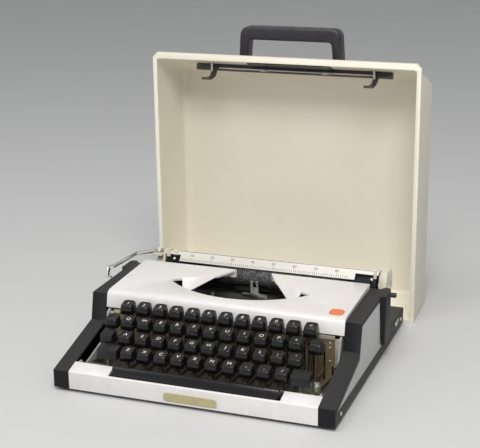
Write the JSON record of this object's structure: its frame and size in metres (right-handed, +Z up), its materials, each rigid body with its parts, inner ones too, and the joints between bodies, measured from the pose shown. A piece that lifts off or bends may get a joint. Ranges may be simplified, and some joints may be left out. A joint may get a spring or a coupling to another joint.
{
  "type": "portable typewriter",
  "caption": "Portable typewriter with its carrying cover standing open behind it, working keys, shift, carriage, platen and levers.",
  "frame": {"origin": "Centre of the footprint of the machine and its open cover, on the table.", "axes": "+X is the typist's right, +Y is away from the typist, +Z is up."},
  "size_m": [0.332, 0.3932, 0.3445],
  "materials": {
    "lid_plastic": "satin",
    "handle_plastic": "satin",
    "black_metal": "satin",
    "dark_paint": "matte",
    "rubber": "matte",
    "dark_plastic": "textured",
    "grey_plastic": "satin",
    "white_paint": "satin",
    "trim": "gloss",
    "frame_steel": "worn",
    "bronze_steel": "worn",
    "bright_steel": "satin",
    "spool": "satin",
    "platen_rubber": "matte",
    "cream_plastic": "satin",
    "chrome": "polished",
    "black_plastic": "satin",
    "key_plastic": "gloss"
  },
  "bodies": {
    "machine": {"base_pan": "dark_paint", "rubber_feet": "rubber", "side_panel_left": "dark_plastic", "side_panel_right": "dark_plastic", "side_inlays": "grey_plastic", "front_rail": "white_paint", "top_cover": "white_paint", "trim_plates": "trim", "main_frame": "frame_steel", "key_comb": "bronze_steel", "key_shaft": "bright_steel", "carriage_rail": "bright_steel"},
    "lid": {"lid_shell": "lid_plastic", "lid_handle": "handle_plastic"},
    "lid_latch": {"lid_latch": "black_metal"},
    "type_basket": {"type_segment": "frame_steel", "type_bars": "bright_steel"},
    "vibrator": {"ribbon_vibrator": "bright_steel"},
    "spool_left": {"ribbon_spool_left": "spool"},
    "spool_right": {"ribbon_spool_right": "spool"},
    "carriage": {"carriage_frame": "frame_steel", "paper_table": "black_metal"},
    "platen": {"platen": "platen_rubber", "platen_knob": "cream_plastic"},
    "feed_roller": {"feed_roller": "platen_rubber"},
    "paper_scale": {"paper_scale": "cream_plastic"},
    "return_lever": {"return_lever": "chrome"},
    "paper_release": {"paper_release_lever": "black_plastic"},
    "space_bar": {"space_bar": "key_plastic"},
    "shift": {"shift_keys": "key_plastic"},
    "shift_lock": {"shift_lock": "key_plastic"},
    "backspace": {"backspace_key": "key_plastic"},
    "margin_release": {"margin_release_key": "key_plastic"},
    "figure_keys": {"figure_keys": "key_plastic"},
    "key_q": {"key_q": "key_plastic"},
    "key_w": {"key_w": "key_plastic"},
    "key_e": {"key_e": "key_plastic"},
    "key_r": {"key_r": "key_plastic"},
    "key_t": {"key_t": "key_plastic"},
    "key_y": {"key_y": "key_plastic"},
    "key_u": {"key_u": "key_plastic"},
    "key_i": {"key_i": "key_plastic"},
    "key_o": {"key_o": "key_plastic"},
    "key_p": {"key_p": "key_plastic"},
    "key_a": {"key_a": "key_plastic"},
    "key_s": {"key_s": "key_plastic"},
    "key_d": {"key_d": "key_plastic"},
    "key_f": {"key_f": "key_plastic"},
    "key_g": {"key_g": "key_plastic"},
    "key_h": {"key_h": "key_plastic"},
    "key_j": {"key_j": "key_plastic"},
    "key_k": {"key_k": "key_plastic"},
    "key_l": {"key_l": "key_plastic"},
    "key_z": {"key_z": "key_plastic"},
    "key_x": {"key_x": "key_plastic"},
    "key_c": {"key_c": "key_plastic"},
    "key_v": {"key_v": "key_plastic"},
    "key_b": {"key_b": "key_plastic"},
    "key_n": {"key_n": "key_plastic"},
    "key_m": {"key_m": "key_plastic"}
  },
  "joints": [
    {"name": "lid_hinge", "type": "hinge", "parent": "machine", "child": "lid", "pos_m": [0, 0.09925, 0.007], "axis": [1, 0, 0], "range_deg": [0, 90]},
    {"name": "carriage_slide", "type": "slide", "parent": "machine", "child": "carriage", "axis": [1, 0, 0], "range_m": [-0.11, 0]},
    {"name": "platen_turn", "type": "hinge", "parent": "carriage", "child": "platen", "pos_m": [0, 0.03295, 0.072], "axis": [1, 0, 0], "continuous": true},
    {"name": "feed_roller_turn", "type": "hinge", "parent": "carriage", "child": "feed_roller", "pos_m": [0, 0.03295, 0.0507], "axis": [1, 0, 0], "continuous": true},
    {"name": "return_lever_swing", "type": "hinge", "parent": "carriage", "child": "return_lever", "pos_m": [-0.1275, 0.02595, 0.0875], "axis": [0, 0, 1], "range_deg": [0, 9], "stiffness_Nm_per_rad": 0.3, "springref_deg": -5.73},
    {"name": "paper_scale_swing", "type": "hinge", "parent": "carriage", "child": "paper_scale", "pos_m": [0, 0.04395, 0.084], "axis": [1, 0, 0], "range_deg": [-60, 0]},
    {"name": "paper_release_swing", "type": "hinge", "parent": "carriage", "child": "paper_release", "pos_m": [0.146, 0.04995, 0.047], "axis": [1, 0, 0], "range_deg": [0, 15]},
    {"name": "space_bar_press", "type": "hinge", "parent": "machine", "child": "space_bar", "pos_m": [0, -0.09105, 0.013], "axis": [1, 0, 0], "range_deg": [0, 4], "stiffness_Nm_per_rad": 1.5, "springref_deg": -3.44},
    {"name": "basket_drop", "type": "slide", "parent": "machine", "child": "type_basket", "axis": [0, 0, -1], "range_m": [0, 0.006], "stiffness_N_per_m": 400, "springref_m": -0.01},
    {"name": "shift_press", "type": "hinge", "parent": "machine", "child": "shift", "pos_m": [0, -0.07605, 0.0096], "axis": [1, 0, 0], "range_deg": [0, 3.5]},
    {"name": "shift_lock_press", "type": "hinge", "parent": "machine", "child": "shift_lock", "pos_m": [-0.119, -0.07605, 0.0096], "axis": [1, 0, 0], "range_deg": [0, 3.5]},
    {"name": "backspace_press", "type": "hinge", "parent": "machine", "child": "backspace", "pos_m": [0.1159, -0.00005, 0.022], "axis": [1, 0, 0], "range_deg": [0, 3.97], "stiffness_Nm_per_rad": 0.5, "springref_deg": -3.44},
    {"name": "margin_release_press", "type": "hinge", "parent": "machine", "child": "margin_release", "pos_m": [-0.11555, -0.00005, 0.022], "axis": [1, 0, 0], "range_deg": [0, 3.97], "stiffness_Nm_per_rad": 0.5, "springref_deg": -3.44},
    {"name": "vibrator_lift", "type": "slide", "parent": "machine", "child": "vibrator", "axis": [0, 0, 1], "range_m": [0, 0.008], "stiffness_N_per_m": 8, "springref_m": -0.005},
    {"name": "lid_latch_slide", "type": "slide", "parent": "lid", "child": "lid_latch", "axis": [1, 0, 0], "range_m": [-0.006, 0]},
    {"name": "spool_left_turn", "type": "hinge", "parent": "machine", "child": "spool_left", "pos_m": [-0.103, -0.03805, 0.058], "axis": [0, 0, 1], "continuous": true},
    {"name": "spool_right_turn", "type": "hinge", "parent": "machine", "child": "spool_right", "pos_m": [0.103, -0.03805, 0.058], "axis": [0, 0, 1], "continuous": true},
    {"name": "figure_keys_press", "type": "hinge", "parent": "machine", "child": "figure_keys", "pos_m": [0, -0.00005, 0.022], "axis": [1, 0, 0], "range_deg": [0, 3], "stiffness_Nm_per_rad": 6, "springref_deg": -3.44},
    {"name": "key_q_press", "type": "hinge", "parent": "machine", "child": "key_q", "pos_m": [-0.0965, -0.00005, 0.022], "axis": [1, 0, 0], "range_deg": [0, 3.97], "stiffness_Nm_per_rad": 0.5, "springref_deg": -3.44},
    {"name": "key_w_press", "type": "hinge", "parent": "machine", "child": "key_w", "pos_m": [-0.07745, -0.00005, 0.022], "axis": [1, 0, 0], "range_deg": [0, 3.97], "stiffness_Nm_per_rad": 0.5, "springref_deg": -3.44},
    {"name": "key_e_press", "type": "hinge", "parent": "machine", "child": "key_e", "pos_m": [-0.0584, -0.00005, 0.022], "axis": [1, 0, 0], "range_deg": [0, 3.97], "stiffness_Nm_per_rad": 0.5, "springref_deg": -3.44},
    {"name": "key_r_press", "type": "hinge", "parent": "machine", "child": "key_r", "pos_m": [-0.03935, -0.00005, 0.022], "axis": [1, 0, 0], "range_deg": [0, 3.97], "stiffness_Nm_per_rad": 0.5, "springref_deg": -3.44},
    {"name": "key_t_press", "type": "hinge", "parent": "machine", "child": "key_t", "pos_m": [-0.0203, -0.00005, 0.022], "axis": [1, 0, 0], "range_deg": [0, 3.97], "stiffness_Nm_per_rad": 0.5, "springref_deg": -3.44},
    {"name": "key_y_press", "type": "hinge", "parent": "machine", "child": "key_y", "pos_m": [-0.00125, -0.00005, 0.022], "axis": [1, 0, 0], "range_deg": [0, 3.97], "stiffness_Nm_per_rad": 0.5, "springref_deg": -3.44},
    {"name": "key_u_press", "type": "hinge", "parent": "machine", "child": "key_u", "pos_m": [0.0178, -0.00005, 0.022], "axis": [1, 0, 0], "range_deg": [0, 3.97], "stiffness_Nm_per_rad": 0.5, "springref_deg": -3.44},
    {"name": "key_i_press", "type": "hinge", "parent": "machine", "child": "key_i", "pos_m": [0.03685, -0.00005, 0.022], "axis": [1, 0, 0], "range_deg": [0, 3.97], "stiffness_Nm_per_rad": 0.5, "springref_deg": -3.44},
    {"name": "key_o_press", "type": "hinge", "parent": "machine", "child": "key_o", "pos_m": [0.0559, -0.00005, 0.022], "axis": [1, 0, 0], "range_deg": [0, 3.97], "stiffness_Nm_per_rad": 0.5, "springref_deg": -3.44},
    {"name": "key_p_press", "type": "hinge", "parent": "machine", "child": "key_p", "pos_m": [0.07495, -0.00005, 0.022], "axis": [1, 0, 0], "range_deg": [0, 3.97], "stiffness_Nm_per_rad": 0.5, "springref_deg": -3.44},
    {"name": "key_a_press", "type": "hinge", "parent": "machine", "child": "key_a", "pos_m": [-0.0912, -0.00005, 0.022], "axis": [1, 0, 0], "range_deg": [0, 3.47], "stiffness_Nm_per_rad": 0.5, "springref_deg": -3.44},
    {"name": "key_s_press", "type": "hinge", "parent": "machine", "child": "key_s", "pos_m": [-0.07215, -0.00005, 0.022], "axis": [1, 0, 0], "range_deg": [0, 3.47], "stiffness_Nm_per_rad": 0.5, "springref_deg": -3.44},
    {"name": "key_d_press", "type": "hinge", "parent": "machine", "child": "key_d", "pos_m": [-0.0531, -0.00005, 0.022], "axis": [1, 0, 0], "range_deg": [0, 3.47], "stiffness_Nm_per_rad": 0.5, "springref_deg": -3.44},
    {"name": "key_f_press", "type": "hinge", "parent": "machine", "child": "key_f", "pos_m": [-0.03405, -0.00005, 0.022], "axis": [1, 0, 0], "range_deg": [0, 3.47], "stiffness_Nm_per_rad": 0.5, "springref_deg": -3.44},
    {"name": "key_g_press", "type": "hinge", "parent": "machine", "child": "key_g", "pos_m": [-0.015, -0.00005, 0.022], "axis": [1, 0, 0], "range_deg": [0, 3.47], "stiffness_Nm_per_rad": 0.5, "springref_deg": -3.44},
    {"name": "key_h_press", "type": "hinge", "parent": "machine", "child": "key_h", "pos_m": [0.00405, -0.00005, 0.022], "axis": [1, 0, 0], "range_deg": [0, 3.47], "stiffness_Nm_per_rad": 0.5, "springref_deg": -3.44},
    {"name": "key_j_press", "type": "hinge", "parent": "machine", "child": "key_j", "pos_m": [0.0231, -0.00005, 0.022], "axis": [1, 0, 0], "range_deg": [0, 3.47], "stiffness_Nm_per_rad": 0.5, "springref_deg": -3.44},
    {"name": "key_k_press", "type": "hinge", "parent": "machine", "child": "key_k", "pos_m": [0.04215, -0.00005, 0.022], "axis": [1, 0, 0], "range_deg": [0, 3.47], "stiffness_Nm_per_rad": 0.5, "springref_deg": -3.44},
    {"name": "key_l_press", "type": "hinge", "parent": "machine", "child": "key_l", "pos_m": [0.0612, -0.00005, 0.022], "axis": [1, 0, 0], "range_deg": [0, 3.47], "stiffness_Nm_per_rad": 0.5, "springref_deg": -3.44},
    {"name": "key_z_press", "type": "hinge", "parent": "machine", "child": "key_z", "pos_m": [-0.0803, -0.00005, 0.022], "axis": [1, 0, 0], "range_deg": [0, 3.07], "stiffness_Nm_per_rad": 0.5, "springref_deg": -3.44},
    {"name": "key_x_press", "type": "hinge", "parent": "machine", "child": "key_x", "pos_m": [-0.06125, -0.00005, 0.022], "axis": [1, 0, 0], "range_deg": [0, 3.07], "stiffness_Nm_per_rad": 0.5, "springref_deg": -3.44},
    {"name": "key_c_press", "type": "hinge", "parent": "machine", "child": "key_c", "pos_m": [-0.0422, -0.00005, 0.022], "axis": [1, 0, 0], "range_deg": [0, 3.07], "stiffness_Nm_per_rad": 0.5, "springref_deg": -3.44},
    {"name": "key_v_press", "type": "hinge", "parent": "machine", "child": "key_v", "pos_m": [-0.02315, -0.00005, 0.022], "axis": [1, 0, 0], "range_deg": [0, 3.07], "stiffness_Nm_per_rad": 0.5, "springref_deg": -3.44},
    {"name": "key_b_press", "type": "hinge", "parent": "machine", "child": "key_b", "pos_m": [-0.0041, -0.00005, 0.022], "axis": [1, 0, 0], "range_deg": [0, 3.07], "stiffness_Nm_per_rad": 0.5, "springref_deg": -3.44},
    {"name": "key_n_press", "type": "hinge", "parent": "machine", "child": "key_n", "pos_m": [0.01495, -0.00005, 0.022], "axis": [1, 0, 0], "range_deg": [0, 3.07], "stiffness_Nm_per_rad": 0.5, "springref_deg": -3.44},
    {"name": "key_m_press", "type": "hinge", "parent": "machine", "child": "key_m", "pos_m": [0.034, -0.00005, 0.022], "axis": [1, 0, 0], "range_deg": [0, 3.07], "stiffness_Nm_per_rad": 0.5, "springref_deg": -3.44}
  ],
  "couplings": [
    {"joint": "feed_roller_turn", "follows": "platen_turn", "ratio": -3.2},
    {"joint": "shift_press", "follows": "basket_drop", "rad_per_m": 10.18},
    {"joint": "shift_lock_press", "follows": "basket_drop", "rad_per_m": 10.18},
    {"joint": "spool_right_turn", "follows": "spool_left_turn", "ratio": 1}
  ]
}
